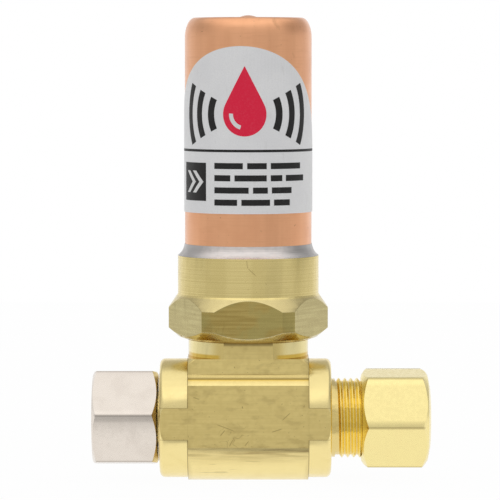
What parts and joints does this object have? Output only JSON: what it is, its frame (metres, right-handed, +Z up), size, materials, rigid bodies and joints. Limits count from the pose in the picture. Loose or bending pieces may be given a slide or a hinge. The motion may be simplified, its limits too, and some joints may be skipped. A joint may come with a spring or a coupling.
{
  "type": "water hammer arrestor",
  "caption": "Capped copper air chamber with a sliding piston on a brass tee, with a swivel nut inlet and a compression nut outlet, to cushion surges in a water supply line.",
  "frame": {"origin": "centre of the inlet nut's mouth, on the tee's axis", "axes": "+X along the tee from inlet to outlet, +Z up the air chamber, -Y towards the label"},
  "size_m": [0.0592, 0.0254, 0.0816],
  "materials": {
    "brass": "machined, lightly dulled",
    "bright_brass": "bright turned",
    "copper": "drawn copper, satin",
    "solder": "dull tin solder",
    "label_film": "printed silver-white film",
    "acetal": "turned acetal",
    "seal_rubber": "matte moulded rubber",
    "nickel_plate": "satin nickel plate"
  },
  "bodies": {
    "fitting": {"tee_body": "brass", "hex_adapter": "brass", "copper_chamber": "copper", "solder_fillet": "solder", "label": "label_film", "inlet_stem": "brass", "inlet_washer": "seal_rubber"},
    "piston_set": {"piston": "acetal", "lower_o_ring": "seal_rubber", "upper_o_ring": "seal_rubber"},
    "swivel_nut": {"inlet_nut": "nickel_plate"},
    "outlet_sleeve": {"compression_sleeve": "brass"},
    "outlet_nut": {"compression_nut": "bright_brass"}
  },
  "joints": [
    {"name": "piston_stroke", "type": "slide", "parent": "fitting", "child": "piston_set", "axis": [0, 0, 1], "range_m": [0, 0.025], "stiffness_N_per_m": 1000},
    {"name": "swivel_nut_turn", "type": "hinge", "parent": "fitting", "child": "swivel_nut", "pos_m": [0, 0, 0], "axis": [1, 0, 0], "continuous": true},
    {"name": "sleeve_travel", "type": "slide", "parent": "fitting", "child": "outlet_sleeve", "axis": [1, 0, 0], "range_m": [-0.00021, 0.00344]},
    {"name": "outlet_nut_turn", "type": "hinge", "parent": "outlet_sleeve", "child": "outlet_nut", "pos_m": [0.0532, 0, 0], "axis": [1, 0, 0], "range_deg": [-72, 1170]}
  ],
  "couplings": [
    {"joint": "sleeve_travel", "follows": "outlet_nut_turn", "m_per_rad": 0.00016844}
  ]
}
